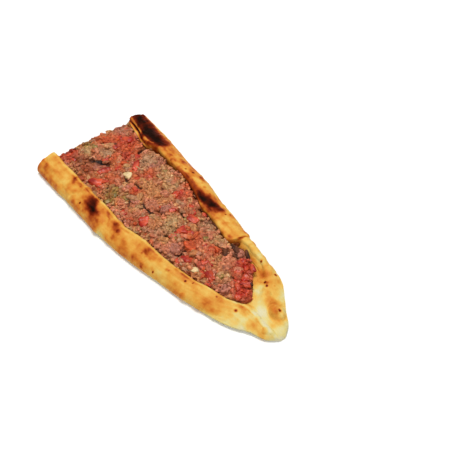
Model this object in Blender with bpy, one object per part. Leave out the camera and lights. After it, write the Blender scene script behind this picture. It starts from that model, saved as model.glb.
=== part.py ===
"""One half of a Turkish pide: a boat of flat bread with diced meat and tomato baked in it.

The whole pide was cut across its middle, so this half has one cut end and one pinched tip. X runs from
the cut to the tip, Y across the boat and Z up. The origin is on the surface that the pide lies on, under
the middle of its box. Lengths are in millimetres, and MM turns them into metres when a solid is made.
A station is the distance from the cut, along X. The near side is -Y and the far side is +Y.
"""

import math

import bmesh
import bpy
import numpy
from mathutils import Matrix, Vector, noise

MM = 0.001

# Driving dimensions of the bread.
LENGTH = 266.0
HALF_WIDTH = 57.5
PLAN_LENGTH = 270.5
PLAN_POWER = 2.4
PLAN_ROUNDNESS = 0.72
TIP_SIDE = 3.0
NOSE_LENGTH = 8.0
CUT_SKEW = 0.022
CUT_SKEW_LENGTH = 40.0
BASE = 3.2
FILLING_END = 227.5
TIP_START = 232.0
LAST_STEP = 0.12

# Where the dough folds over: the inner edge of each rim, as (station, Y).
NEAR_LIP = ((0, -37.6), (60, -36), (110, -34.6), (130, -30.5), (165, -26.4), (190, -22), (207, -17),
            (222, -10.6), (229, -5.4), (240, -3.4), (LENGTH, -1))
FAR_LIP = ((0, 38.6), (20, 35.2), (38, 32), (44, 33.4), (50, 37.2), (85, 36.4), (106, 34.4),
           (118, 31), (128, 27.4), (155, 25.4), (176, 21.4), (179, 31.4), (186, 32.6), (204, 30.8),
           (214, 27.6), (223, 21), (230, 12), (240, 7.5), (LENGTH, 6))

# How high each rim and the floor between them stand, as (station, Z).
NEAR_CREST = ((0, 14.4), (60, 14.8), (120, 14), (170, 13.4), (205, 11.6), (228, 9.8), (248, 7.4),
              (LENGTH, 5.4))
FAR_CREST = ((0, 14.8), (50, 14), (130, 14.6), (170, 13.4), (180, 10), (222, 9.4), (240, 8.6),
             (252, 7), (LENGTH, 5.4))
FLOOR = ((0, BASE), (170, BASE), (190, 4), (224, 5), (236, 6.6), (250, 6), (LENGTH, 4.6))

# Where hands left the outline fuller or slimmer than the plain curve: (station, spread, outwards).
NEAR_BUMPS = ((55, 28, -1.4), (165, 26, -1.6), (228, 14, 1.6), (247, 7, -6))
FAR_BUMPS = ((78, 34, -2.6), (136, 22, -3.4), (176, 14, -1.4), (224, 22, 5.4), (228, 13, 7))

# The section of a rim. In a rim lower than FULL_CREST or slimmer than FULL_RIM everything shrinks.
FULL_CREST = 8.0
FULL_RIM = 5.0
SIDE_HEIGHT = 3.4
BOTTOM_INSET = 3.6
SIDE_INSET = 0.9
SIDE_FOOT = 1.2
CREST_INSET = 2.4
LIP_DROP = 2.0
LIP_ROUNDING = 0.35
LIP_LIMIT = 0.86
LIP_DRIFT = 0.8
LEAST_LIP = 0.6
UNDERCUT = 0.7
CREST_ANGLE = math.radians(74)
CREST_DRIFT = 1.6
SIDE_STEPS = 6
DENT = 0.7

# The puffed button beside the tip: station, Y, spread and height.
KNOB = (246.5, 13.0, 6.5, 2.6)

# The filling.
GAP = 0.3
FILLING_SIDE = 9.0
FILLING_TUCK = 11.0
FILLING_SLOPE = 0.45
FILLING_SPREAD = 0.8
FILLING_SHOULDER = 0.4
FILLING_CROWN = 2.0
FILLING_STEPS = 17
FILLING_FAR = ((178, 24), (186, 27.4), (196, 25.6), (205, 21), (213, 15), (220, 9), (228, 3))
FILLING_TOP = ((0, -1.4), (40, -0.4), (80, 0.4), (150, 0.8), (200, 0), (218, -0.8), (228, -2.2))
FILLING_LEAST = 1.2
LUMP = 12.0
LUMP_HEIGHT = 2.0

# Pieces as large as berries, half sunk in the filling: station, Y, length, width, height and turn in
# degrees.
TOMATOES = ((44.7, -14.5, 12.0, 6.5, 4.6, 82), (50.0, -27.0, 16.0, 9.0, 4.6, 24),
            (56.8, 10.6, 14.0, 5.5, 4.2, -45), (105.0, 18.6, 10.0, 6.0, 4.4, -66),
            (115.0, -18.6, 12.0, 10.5, 5.6, 12), (138.0, 13.6, 13.0, 8.5, 4.4, 20),
            (143.0, -0.6, 9.5, 8.0, 4.4, 70), (169.4, -13.8, 12.0, 8.0, 4.6, 12),
            (193.0, -9.4, 11.0, 7.0, 4.6, -15), (200.0, 16.6, 11.0, 7.5, 4.4, -28),
            (210.0, 6.6, 12.0, 7.5, 4.8, 34), (219.8, 0.6, 9.5, 6.5, 4.0, 30))
GARLIC = ((61.0, -0.6, 8.5, 7.0, 5.0, 15), (180.4, -15.4, 7.5, 5.6, 4.0, 35))
CHARRED = ((184.0, 22.4, 10.5, 5.0, 4.0, 4),)
SUNK = 0.05
BLOCK_ROUNDNESS = 0.62
BLOCK_UNEVENNESS = 0.12
BALL_RADIUS = 1.25
BLOCK_REACH = 1.15
POCKET_ROOM = 0.8


def along(points, station, soften=6.0):
    """The value at a station, read from (station, value) pairs and rounded off over a short stretch."""
    stations, values = zip(*points)
    window = station + soften * numpy.linspace(-1, 1, 9)
    return float(numpy.interp(window, stations, values).mean())


def wander(station, size, seed, step=14.0):
    """A slow, uneven drift along the boat, the same on every run."""
    return size * noise.noise(Vector((station / step, seed, 0.5)))


def tip_centre(station):
    """The boat's middle line, which drifts aside towards the tip."""
    return TIP_SIDE * (station / LENGTH) ** 2


def nose(station):
    """Rounds off the last few millimetres of the tip, in plan and in height."""
    past = max(0.0, (station - (LENGTH - NOSE_LENGTH)) / NOSE_LENGTH)
    return math.sqrt(max(0.0, 1 - past ** 2))


def outer_edge(station, side):
    """Y of the bread's outside on the near side (-1) or the far side (+1)."""
    plan = nose(station) * (1 - (station / PLAN_LENGTH) ** PLAN_POWER) ** PLAN_ROUNDNESS
    bumps = NEAR_BUMPS if side < 0 else FAR_BUMPS
    extra = sum(out * math.exp(-((station - at) / spread) ** 2) for at, spread, out in bumps)
    return tip_centre(station) + side * (HALF_WIDTH + extra) * plan


def rim(station, side):
    """Outer edge, inner edge, crest height and floor height of one rim at a station."""
    lips, crests = (NEAR_LIP, NEAR_CREST) if side < 0 else (FAR_LIP, FAR_CREST)
    outer = outer_edge(station, side)
    lip = along(lips, station, 3.0) + wander(station, LIP_DRIFT, side * 3.7)
    middle = tip_centre(station)
    lip = middle + side * min(side * (lip - middle), LIP_LIMIT * side * (outer - middle))
    crest = (along(crests, station) + wander(station, CREST_DRIFT, side * 9.1, 22.0)) * nose(station)
    floor = along(FLOOR, station) * nose(station)
    return outer, lip, max(crest, floor + LEAST_LIP), floor


def knob(station, y):
    """Height added by the round button of dough that puffed up beside the tip."""
    at, across, spread, height = KNOB
    return height * math.exp(-((station - at) ** 2 + (y - across) ** 2) / spread ** 2)


def rim_section(station, side):
    """Points of one rim, from the bottom, up its outer side, over the crest and down to the floor."""
    outer, lip, crest, floor = rim(station, side)
    scale = min(1.0, crest / FULL_CREST, abs(outer - lip) / FULL_RIM)
    top = lip + side * CREST_INSET * scale
    points = [(outer - side * BOTTOM_INSET * scale, 0.0),
              (outer - side * SIDE_INSET * scale, SIDE_FOOT * scale)]
    side_z = SIDE_HEIGHT * scale
    for step in range(SIDE_STEPS):
        angle = CREST_ANGLE * step / (SIDE_STEPS - 1)
        across = (1 - math.cos(angle)) / (1 - math.cos(CREST_ANGLE))
        up = math.sin(angle) / math.sin(CREST_ANGLE)
        dent = 0.0 if step == 0 else noise.noise(Vector((station / 17, 5 * side + step / 2.5, 2.0)))
        y = outer + (top - outer) * across
        z = side_z + (crest - side_z) * up + DENT * scale * dent
        points.append((y, z + knob(station, y)))
    drop = min(LIP_DROP, (crest - floor) / 2)
    points.append((lip + side * LIP_ROUNDING * CREST_INSET * scale, points[-1][1] - drop / 4))
    points.append((lip, crest - drop))
    points.append((lip + side * UNDERCUT * scale, floor))
    return points


def bread_section(station):
    """The closed outline of the bread at a station, as (Y, Z)."""
    near = rim_section(station, -1)
    far = rim_section(station, 1)
    return near + [((near[-1][0] + far[-1][0]) / 2, near[-1][1])] + far[::-1]


def wall(station, side, height):
    """Y of a rim's inner wall at a height, moved in by the gap."""
    outer, lip, crest, floor = rim(station, side)
    drop = min(LIP_DROP, (crest - floor) / 2)
    foot = lip + side * UNDERCUT * min(1.0, crest / FULL_CREST, abs(outer - lip) / FULL_RIM)
    share = (height - floor) / (crest - drop - floor)
    return foot + (lip - foot) * share - side * GAP


def filling_top(station, y):
    """The heap's uneven top: a low crown with lumps of meat in it."""
    near = wall(station, -1, FILLING_SIDE)
    far = wall(station, 1, FILLING_SIDE) if station < FILLING_FAR[0][0] else along(FILLING_FAR, station)
    across = max(0.0, min(1.0, (y - near) / (far - near)))
    crown = FILLING_CROWN * math.sin(math.pi * across)
    spot = Vector((station / LUMP, y / LUMP, 4.0))
    lumps = LUMP_HEIGHT * (noise.noise(spot) + 0.6 * noise.noise(2.3 * spot))
    floor = rim(station, -1)[3] + GAP
    return max(FILLING_SIDE + along(FILLING_TOP, station) + crown + lumps, floor + FILLING_LEAST)


def filling_section(station):
    """The closed outline of the filling at a station, as (Y, Z)."""
    floor = rim(station, -1)[3] + GAP
    near_z = min(filling_top(station, wall(station, -1, FILLING_SIDE)), rim(station, -1)[2] - LIP_DROP - GAP)
    near_y = wall(station, -1, near_z)
    points = [(wall(station, -1, floor), floor), (near_y, near_z)]
    if station < FILLING_FAR[0][0]:
        far_z = min(filling_top(station, wall(station, 1, FILLING_SIDE)), FILLING_TUCK)
        far_y = wall(station, 1, far_z)
        far_foot = wall(station, 1, floor)
    else:
        far_y = along(FILLING_FAR, station)
        far_z = floor + FILLING_SLOPE * (near_z - floor)
        far_foot = far_y + FILLING_SPREAD
    for step in range(1, FILLING_STEPS):
        y = near_y + (far_y - near_y) * step / FILLING_STEPS
        ease = min(1.0, min(step, FILLING_STEPS - step) / FILLING_STEPS / FILLING_SHOULDER)
        edge = near_z + (far_z - near_z) * step / FILLING_STEPS
        points.append((y, edge + (filling_top(station, y) - edge) * ease))
    return points + [(far_y, far_z), (far_foot, floor)]


def place(station, y, z):
    """A point of the boat in metres, with the cut a little askew."""
    fade = max(0.0, 1 - station / CUT_SKEW_LENGTH)
    askew = CUT_SKEW * (y + HALF_WIDTH) * fade
    return Vector((station + askew - LENGTH / 2, y, z)) * MM


def coat(thing, colour, roughness):
    """Gives an object its own material."""
    material = bpy.data.materials.new(thing.name)
    material.use_nodes = True
    shader = material.node_tree.nodes["Principled BSDF"]
    shader.inputs["Base Color"].default_value = (*colour, 1)
    shader.inputs["Roughness"].default_value = roughness
    shader.inputs["Metallic"].default_value = 0.0
    thing.data.materials.append(material)


def new_object(name, mesh_maker, colour=None, roughness=0.6):
    """An object made from a bmesh, smooth except at its sharp edges."""
    mesh = bpy.data.meshes.new(name)
    bmesh.ops.recalc_face_normals(mesh_maker, faces=mesh_maker.faces)
    mesh_maker.to_mesh(mesh)
    mesh_maker.free()
    mesh.shade_smooth()
    mesh.set_sharp_from_angle(angle=math.radians(50))
    thing = bpy.data.objects.new(name, mesh)
    bpy.context.collection.objects.link(thing)
    if colour:
        coat(thing, colour, roughness)
    return thing


def loft(stations, section):
    """A closed solid whose end face is pulled from station to station and reshaped at each."""
    solid = bmesh.new()
    corners = [solid.verts.new(place(stations[0], y, z)) for y, z in section(stations[0])]
    end = solid.faces.new(corners)
    for number, station in enumerate(stations[1:]):
        pulled = bmesh.ops.extrude_face_region(solid, geom=[end])
        new_end = next(item for item in pulled["geom"] if isinstance(item, bmesh.types.BMFace))
        if number:
            bmesh.ops.delete(solid, geom=[end], context="FACES_ONLY")
        end = new_end
        for corner, (y, z) in zip(end.verts, section(station)):
            corner.co = place(station, y, z)
    return solid


def rounded_block(length, width, height, centre, turn):
    """A dice of vegetable with worn corners, as a bmesh."""
    block = bmesh.new()
    bmesh.ops.create_cube(block, size=2)
    bmesh.ops.subdivide_edges(block, edges=block.edges, cuts=2, use_grid_fill=True)
    for corner in block.verts:
        ball = corner.co.normalized() * BALL_RADIUS
        corner.co = corner.co.lerp(ball, BLOCK_ROUNDNESS)
        uneven = noise.noise(corner.co * 0.8 + centre * 150)
        corner.co *= 1 + BLOCK_UNEVENNESS * uneven
    halves = Vector((length, width, height)) * MM / 2 / BLOCK_REACH
    bmesh.ops.scale(block, vec=halves, verts=block.verts)
    bmesh.ops.rotate(block, cent=(0, 0, 0), matrix=Matrix.Rotation(math.radians(turn), 3, "Z"),
                     verts=block.verts)
    bmesh.ops.translate(block, vec=centre, verts=block.verts)
    return block


def topping(name, row, colour, roughness, pockets):
    """One piece half sunk in the filling. A slightly larger copy of it joins the cutter of pockets."""
    station, y, length, width, height, turn = row
    centre = place(station, y, filling_top(station, y) - SUNK * height)
    new_object(name, rounded_block(length, width, height, centre, turn), colour, roughness)
    block = rounded_block(length, width, height, centre, turn)
    grown = [(size + POCKET_ROOM) / size for size in (length, width, height)]
    spin = Matrix.Rotation(math.radians(turn), 4, "Z")
    about = Matrix.Translation(centre) @ spin @ Matrix.Diagonal((*grown, 1)) @ spin.inverted() \
        @ Matrix.Translation(-centre)
    bmesh.ops.transform(block, matrix=about, verts=block.verts)
    pocket = bpy.data.meshes.new(name + "_pocket")
    block.to_mesh(pocket)
    block.free()
    pockets.from_mesh(pocket)
    bpy.data.meshes.remove(pocket)


for old in list(bpy.data.objects):
    bpy.data.objects.remove(old)

# Stations lie close together where the far flap ends, and closer and closer towards the tip.
body_stations = list(numpy.arange(0, 170, 4.7)) + list(numpy.arange(171, 188, 2.6))
body_stations += list(numpy.arange(190.5, FILLING_END, 4.6))
tip_quarter = numpy.linspace(0, math.pi / 2, 13)
tip_stations = list(TIP_START + (LENGTH - LAST_STEP - TIP_START) * numpy.sin(tip_quarter))

bread = loft(body_stations + tip_stations, bread_section)
new_object("crust", bread, (0.76, 0.37, 0.07), 0.6)
heap = loft(body_stations + [FILLING_END], filling_section)
bmesh.ops.triangulate(heap, faces=heap.faces)
filling = new_object("filling", heap, (0.41, 0.14, 0.06), 0.5)

pockets = bmesh.new()
for number, row in enumerate(TOMATOES, 1):
    topping(f"tomato_{number}", row, (0.42, 0.04, 0.015), 0.35, pockets)
for number, row in enumerate(GARLIC, 1):
    topping(f"garlic_{number}", row, (0.78, 0.5, 0.24), 0.45, pockets)
for number, row in enumerate(CHARRED, 1):
    topping(f"charred_pepper_{number}", row, (0.1, 0.03, 0.012), 0.5, pockets)
bmesh.ops.triangulate(pockets, faces=pockets.faces)

# All pockets are cut in one go.
cutter = new_object("pockets", pockets)
cutter.hide_render = True
cutter.display_type = "WIRE"
cut = filling.modifiers.new("pockets", "BOOLEAN")
cut.object = cutter
cut.operation = "DIFFERENCE"
cut.solver = "EXACT"
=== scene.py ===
"""One half of a Turkish pide: folded bread with a heap of minced meat, tomato and pepper baked in it.

X runs from the cut end to the pinched tip, Y across the boat and Z up. Sizes are in millimetres, and MM
turns them into metres. A station is the distance from the cut along X; the near side is -Y.
"""

import functools
import math
import random

import bmesh
import bpy
import numpy
from mathutils import Matrix, Vector, noise


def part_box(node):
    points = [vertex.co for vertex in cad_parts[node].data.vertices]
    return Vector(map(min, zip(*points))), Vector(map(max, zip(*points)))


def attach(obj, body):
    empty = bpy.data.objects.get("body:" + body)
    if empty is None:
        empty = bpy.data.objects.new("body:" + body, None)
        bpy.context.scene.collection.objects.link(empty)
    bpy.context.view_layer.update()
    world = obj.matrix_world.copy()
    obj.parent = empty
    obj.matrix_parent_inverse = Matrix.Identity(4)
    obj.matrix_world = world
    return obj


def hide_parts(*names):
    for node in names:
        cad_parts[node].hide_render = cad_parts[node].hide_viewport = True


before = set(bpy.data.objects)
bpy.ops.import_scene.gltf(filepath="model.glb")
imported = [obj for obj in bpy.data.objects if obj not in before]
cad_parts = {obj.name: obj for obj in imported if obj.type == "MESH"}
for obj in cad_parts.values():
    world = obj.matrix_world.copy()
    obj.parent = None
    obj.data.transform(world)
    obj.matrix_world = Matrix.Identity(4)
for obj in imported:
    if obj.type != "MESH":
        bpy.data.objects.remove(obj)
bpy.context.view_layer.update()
bpy.context.scene.view_settings.view_transform = "Standard"

# ---- The bread ------------------------------------------------------------------------------------------
# Yeast dough rolled out into a long boat. Its long edges are folded in over the filling and its end is
# pinched to a tip, and then it is baked on stone, which browns it and scorches what stands highest.

MM = 0.001
LENGTH = 266.0
HALF_WIDTH = 57.5
PLAN_LENGTH = 270.5
PLAN_POWER = 2.4
PLAN_ROUNDNESS = 0.72
TIP_SIDE = 3.0
NOSE_LENGTH = 8.0
CUT_SKEW = 0.022
CUT_SKEW_LENGTH = 40.0
BASE = 3.2
CUT_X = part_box("crust")[0][0] / MM

# The inner edge of each fold, its height, and the floor between the folds, as (station, size). The bumps
# are where the outline is fuller or slimmer: (station, spread, outwards).
NEAR_LIP = (
    (0, -37.6), (60, -36), (110, -34.6), (130, -30.5), (165, -26), (190, -20.6), (207, -14), (218, -9.2),
    (225, -4), (231, -1), (240, -1), (LENGTH, -1))
FAR_LIP = (
    (0, 38.6), (20, 35.2), (38, 32), (44, 33.4), (50, 37.2), (85, 36.4), (106, 34.4), (118, 31), (128, 27.4),
    (155, 25.4), (172, 21.8), (176, 25), (178, 31.4), (186, 32.6), (204, 30.8), (214, 27.6), (223, 21),
    (230, 12), (240, 7.5), (LENGTH, 6))
NEAR_CREST = (
    (0, 14.4), (60, 14.8), (120, 14), (170, 13.4), (205, 11.6), (228, 9.8), (248, 7.4), (LENGTH, 5.4))
FAR_CREST = (
    (0, 14.8), (50, 14), (130, 14.6), (170, 13.4), (176.5, 13), (178, 10.2), (222, 9.4), (240, 8.6),
    (252, 7), (LENGTH, 5.4))
FLOOR = ((0, BASE), (170, BASE), (190, 4), (224, 5), (236, 6.6), (250, 6), (LENGTH, 4.6))
NEAR_BUMPS = ((55, 28, -1.4), (165, 26, -1.6), (228, 14, 1.6), (247, 7, -6))
FAR_BUMPS = ((78, 34, -2.6), (136, 22, -3.4), (176, 14, -1.4), (224, 22, 5.4), (228, 13, 7))
FLAP_END = 177.0

# The section of a fold, and the puffed button beside the tip: station, Y, radius and height.
FULL_CREST = 8.0
FULL_RIM = 5.0
LIP_LIMIT = 0.86
SIDE_HEIGHT = 3.4
CREST_ANGLE = math.radians(74)
CREST_STEPS = 8
FLOOR_STEPS = 6
MELT_ROUNDS = 30
LIP_DROP = 2.0
UNDERCUT = 0.7
KNOB = (247.6, 12.8, 6.0, 2.3)
KNOB_GROOVE = 1.1

# At the cut the far flap has come apart into two layers, with an open slit between them.
SLIT_LENGTH = 44.0
SLIT = (
    (2.9, 0.9), (2.2, 0.3), (2.3, -0.6), (4.9, -0.9), (4.9, -1.5), (1.5, -1.5), (-0.3, -1.4), (-1.3, -2.2),
    (-1.0, -4.0))


def along(points, station, soften=6.0):
    """The value at a station, read from (station, value) pairs and rounded off over a short stretch."""
    stations, values = zip(*points)
    window = station + soften * numpy.linspace(-1, 1, 9)
    return float(numpy.interp(window, stations, values).mean())


def wander(station, size, seed, step=14.0):
    """A slow, uneven drift along the boat."""
    return size * noise.noise(Vector((station / step, seed, 0.5)))


def smooth_step(low, high, value):
    """0 below low, 1 above high, and an even change between, for one number or for many."""
    share = numpy.clip((value - low) / (high - low), 0.0, 1.0)
    return share * share * (3 - 2 * share)


def nose(station):
    """Rounds off the last few millimetres of the tip, in plan and in height."""
    past = max(0.0, (station - (LENGTH - NOSE_LENGTH)) / NOSE_LENGTH)
    return math.sqrt(max(0.0, 1 - past ** 2))


def outer_edge(station, side):
    """Y of the bread's outside on the near side (-1) or the far side (+1)."""
    plan = nose(station) * (1 - (station / PLAN_LENGTH) ** PLAN_POWER) ** PLAN_ROUNDNESS
    bumps = NEAR_BUMPS if side < 0 else FAR_BUMPS
    extra = sum(out * math.exp(-((station - at) / spread) ** 2) for at, spread, out in bumps)
    return TIP_SIDE * (station / LENGTH) ** 2 + side * (HALF_WIDTH + extra) * plan


@functools.cache
def fold(station, side):
    """Outer edge, inner edge, crest height, floor height and scale of one fold at a station."""
    lips, crests = (NEAR_LIP, NEAR_CREST) if side < 0 else (FAR_LIP, FAR_CREST)
    by_flap_end = side > 0 and abs(station - FLAP_END) < 14
    outer = outer_edge(station, side)
    middle = TIP_SIDE * (station / LENGTH) ** 2
    lip = along(lips, station, 0.8 if by_flap_end else 3.0) + wander(station, 0.8, side * 3.7)
    lip = middle + side * min(side * (lip - middle), LIP_LIMIT * side * (outer - middle))
    crest = along(crests, station, 0.8 if by_flap_end else 6.0) + wander(station, 1.6, side * 9.1, 22.0)
    crest *= nose(station)
    floor = along(FLOOR, station) * nose(station)
    crest = max(crest, floor + 0.6)
    return outer, lip, crest, floor, min(1.0, crest / FULL_CREST, abs(outer - lip) / FULL_RIM)


def slit_open(station):
    """How far the slit in the far flap gapes, from 0 to 1."""
    if station >= SLIT_LENGTH:
        return 0.0
    return math.sin(math.pi * (station + 8) / (SLIT_LENGTH + 8)) ** 0.7


def fold_top(station, side):
    """Guide points from a fold's widest point, over its crest and down its lip to the floor."""
    outer, lip, crest, floor, scale = fold(station, side)
    opened = slit_open(station) if side > 0 else 0.0
    top = lip + side * (2.4 + 2.6 * opened) * scale
    points = []
    for step in range(CREST_STEPS):
        share = step / (CREST_STEPS - 1)
        across = (1 - math.cos(CREST_ANGLE * share)) / (1 - math.cos(CREST_ANGLE))
        up = math.sin(CREST_ANGLE * share) / math.sin(CREST_ANGLE)
        dent = noise.noise(Vector((station / 17, 5 * side + 2 * share, 2.0))) if step else 0.0
        height = SIDE_HEIGHT * scale + (crest - SIDE_HEIGHT * scale) * up + 0.7 * scale * dent
        points.append((outer + (top - outer) * across, height))
    drop = min(LIP_DROP, (crest - floor) / 2)
    ridge = points[-1][1]
    points.append((lip + side * (1.3 + 2.4 * opened) * scale, ridge - 0.1 * drop))
    points.append((lip + side * (0.35 + 2.9 * opened) * scale, ridge - 0.5 * drop))
    edge = crest - drop
    sloping = float(smooth_step(FLAP_END, FLAP_END + 4, station)) * (side > 0)
    foot = lip + side * (UNDERCUT - 4.2 * sloping) * scale
    wall_drop = (edge - floor) * 0.6
    for step, (out, up) in enumerate(SLIT):
        share = (step + 0.5) / len(SLIT)
        shut_y = lip + (foot - lip) * share
        shut_z = edge - wall_drop * share
        open_y, open_z = lip + side * out, edge + up
        points.append((shut_y + (open_y - shut_y) * opened, shut_z + (open_z - shut_z) * opened))
    points.append((foot, edge - wall_drop * (1 + 0.2 * opened)))
    points.append((foot, floor))
    return points


def corner_cut(points, times=2):
    """A smooth curve from guide points, by cutting their corners again and again."""
    for _ in range(times):
        cut = [points[0]]
        for here, there in zip(points, points[1:]):
            for share in (0.25, 0.75):
                cut.append(tuple(a + (b - a) * share for a, b in zip(here, there)))
        points = cut + [points[-1]]
    return points


def bread_upper(station):
    """The bread's upper outline at a station, from the near side to the far side."""
    near, far = fold_top(station, -1), fold_top(station, 1)
    gap = far[-1][0] - near[-1][0]
    middle = [(near[-1][0] + gap * step / FLOOR_STEPS, near[-1][1]) for step in range(1, FLOOR_STEPS)]
    points = near + middle + far[::-1]
    melted = float(smooth_step(206, 238, station))
    for _ in range(round(MELT_ROUNDS * melted)):
        triples = zip(points, points[1:], points[2:])
        inner = [tuple(v + 0.5 * ((u + w) / 2 - v) for u, v, w in zip(a, b, c)) for a, b, c in triples]
        points = [points[0]] + inner + [points[-1]]
    return corner_cut(points)


def bread_corner(station, side):
    """The rounded bottom edge of the bread, from its widest point down to its flat underside."""
    outer, _, _, _, scale = fold(station, side)
    return corner_cut([(outer, SIDE_HEIGHT * scale), (outer, 1.9 * scale),
                       (outer - side * 1.0 * scale, 0.7 * scale), (outer - side * 3.6 * scale, 0.0)])


def place(station, y, z):
    """A point of the boat in metres, with the cut a little askew."""
    askew = CUT_SKEW * (y + HALF_WIDTH) * max(0.0, 1 - station / CUT_SKEW_LENGTH)
    return Vector((station + askew + CUT_X, y, z)) * MM


def patch(bm, rows):
    """A sheet of faces laid over rows of points."""
    grid = bmesh.ops.create_grid(bm, x_segments=len(rows[0]) - 1, y_segments=len(rows) - 1, size=1)
    for corner, point in zip(grid["verts"], (point for row in rows for point in row)):
        corner.co = point


def boat_shape(stations, upper, bottom_edge, layers):
    """A closed body: its upper skin, its two bottom edges, both its ends and a flat underside."""
    bm = bmesh.new()
    tops = [[place(station, *point) for point in upper(station)] for station in stations]
    near, far = ([[place(station, *point) for point in bottom_edge(station, side)] for station in stations]
                 for side in (-1, 1))
    for rows in (tops, near, far):
        patch(bm, rows)
    for end in (0, -1):
        count = len(tops[end]) - len(near[end]) - len(far[end])
        flat = [near[end][-1].lerp(far[end][-1], (step + 1) / (count + 1)) for step in range(count)]
        bottom = near[end] + flat + far[end][::-1]
        shares = [step / layers for step in range(layers + 1)]
        patch(bm, [[a.lerp(b, share) for a, b in zip(bottom, tops[end])] for share in shares])
    bmesh.ops.remove_doubles(bm, verts=bm.verts, dist=0.000001)
    bmesh.ops.holes_fill(bm, edges=[edge for edge in bm.edges if edge.is_boundary], sides=0)
    bmesh.ops.recalc_face_normals(bm, faces=bm.faces)
    return bm


def to_object(name, bm, sharp=60):
    """An object from a bmesh, smooth except along its sharp edges."""
    mesh = bpy.data.meshes.new(name)
    bm.to_mesh(mesh)
    bm.free()
    mesh.shade_smooth()
    mesh.set_sharp_from_angle(angle=math.radians(sharp))
    thing = bpy.data.objects.new(name, mesh)
    bpy.context.collection.objects.link(thing)
    return thing


def read_shape(mesh):
    """The places of a mesh's points, in millimetres, and the way each faces."""
    count = len(mesh.vertices)
    points, normals = numpy.empty(count * 3), numpy.empty(count * 3)
    mesh.vertices.foreach_get("co", points)
    mesh.vertices.foreach_get("normal", normals)
    return points.reshape(-1, 3) / MM, normals.reshape(-1, 3)


def write_shape(mesh, points):
    """Moves a mesh's points to new places."""
    mesh.vertices.foreach_set("co", (points * MM).ravel())
    mesh.update()


def mark(mesh, name, values):
    """Stores one number for each point of a mesh, for its material to read."""
    mesh.attributes.new(name, "FLOAT", "POINT").data.foreach_set("value", values)


def noise_at(points, size, seed=0.0):
    """Smooth noise at each point, in lumps of about the given size."""
    return numpy.array([noise.noise(spot) for spot in (points / size + (seed, seed / 3, 0)).tolist()])


# Scorched and pale places: (station, Y, reach along, reach across, turn in degrees, how much more baked).
SCORCHES = (
    # the near fold
    (75.5, -43.8, 9.6, 5.6, -24, 0.33), (78, -45, 4.6, 3, -20, 0.14), (64, -38.8, 7, 3.4, -20, 0.14),
    (88, -48, 7, 3, -20, 0.03), (66, -46, 6, 4, -20, 0.1), (105, -40.4, 7.5, 2.8, -6, 0.24),
    (108, -44, 8, 3, 0, 0.08), (94, -40, 6, 1.2, -32, 0.16), (147, -35.8, 8.5, 3, 6, 0.2),
    (144, -36.5, 4, 1.8, 0, 0.08), (111, -48, 2.6, 2, 0, 0.12), (41, -41.5, 3.6, 1.0, -30, 0.12),
    (46, -41, 7, 3, 0, 0.06), (15, -55, 20, 4.6, -6, 0.12), (59, -53, 7, 4, 0, -0.12),
    (91, -51, 6, 4, 0, -0.05), (74, -44, 15, 9, -20, 0.06), (131, -45.5, 7, 3, 0, 0.06),
    (152, -43, 6, 3, 0, 0.06), (183, -37, 6, 3.4, 0, 0.08), (22, -46, 16, 5, 0, -0.05),
    (84, -52, 9, 3, 0, 0.08), (50, -47, 9, 5, 0, 0.02), (36, -48, 5, 3, 30, -0.1), (10, -44, 8, 4, 0, -0.08),
    (162, -37, 10, 4, 8, -0.1), (130, -42, 9, 4, 0, -0.05), (204, -28, 12, 5, 0, 0.05),
    # the far fold
    (6, 44.6, 17, 8.6, -2, 0.33), (32, 44.2, 15, 8.8, -4, 0.32), (20, 43.6, 12, 4.2, -6, 0.22),
    (5, 45, 6, 4, 0, 0.1), (36, 39, 10, 5, -14, 0.25), (49, 42, 8, 6.4, -20, 0.3), (8, 48, 8, 6, 0, 0.1),
    (48, 40.6, 3.4, 3, 0, 0.08), (77, 45.6, 4.6, 3.2, 0, 0.14), (76, 47, 14, 7, 0, 0.12),
    (106, 46.4, 4, 2.6, 0, 0.14), (66, 42, 10, 4, -3, 0.03), (93, 36.6, 12, 3, -4, 0.22),
    (106, 35.6, 8, 2.6, -14, 0.16), (129, 34.6, 10, 5.6, 12, 0.4), (141, 36.6, 8, 4.6, 8, 0.34),
    (127, 33, 5.4, 3.2, 10, 0.14), (137, 30, 9, 4, -4, 0.26), (152, 40, 6, 3, 0, -0.12),
    (117, 36, 7, 5, 0, 0.16), (154, 31.5, 12, 3, -8, 0.12), (164, 25, 5, 2, 0, 0.14),
    (173, 26, 3, 2, 0, 0.12), (14, 50, 22, 4, -2, 0.16), (43, 46.6, 9, 5, -10, 0.12),
    (24, 56, 30, 2.2, 0, -0.22), (100, 42, 12, 3, 0, -0.06), (162, 37, 12, 4, 0, -0.06),
    (146, 44, 10, 1.8, 0, -0.16),
    # the thin edge, the bare floor and the tip
    (184, 35, 4, 2, 0, 0.04), (192, 34, 12, 4, -4, -0.22), (215, 31, 12, 4, -20, -0.06),
    (211, 26, 5.5, 4, 0, 0.13), (220, 20, 2.4, 2, 0, 0.15), (221.5, 16, 3.4, 4.6, -10, -0.2),
    (200, 29, 10, 3, 0, 0.08), (232, 23, 9, 5, -30, -0.14), (238, 17, 4, 5, 0, 0.04),
    (234.4, -7.6, 8, 2.2, -6, 0.15), (254, -8.6, 9, 2.2, 0, 0.06), (229, -7, 8, 2, 10, 0.06),
    (243, 3, 6.5, 5, 0, -0.22), (255, -3, 8, 3.6, 0, -0.16), (262, 4, 6, 7, 0, -0.12),
    (245, -16, 10, 4, 30, -0.2), (247, 12.6, 6, 5.6, 0, -0.07), (251, 4.8, 6, 1, 0, 0.06),
    (240, 24, 10, 3, -35, -0.16), (256, 12, 6, 5, 0, -0.12))
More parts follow.
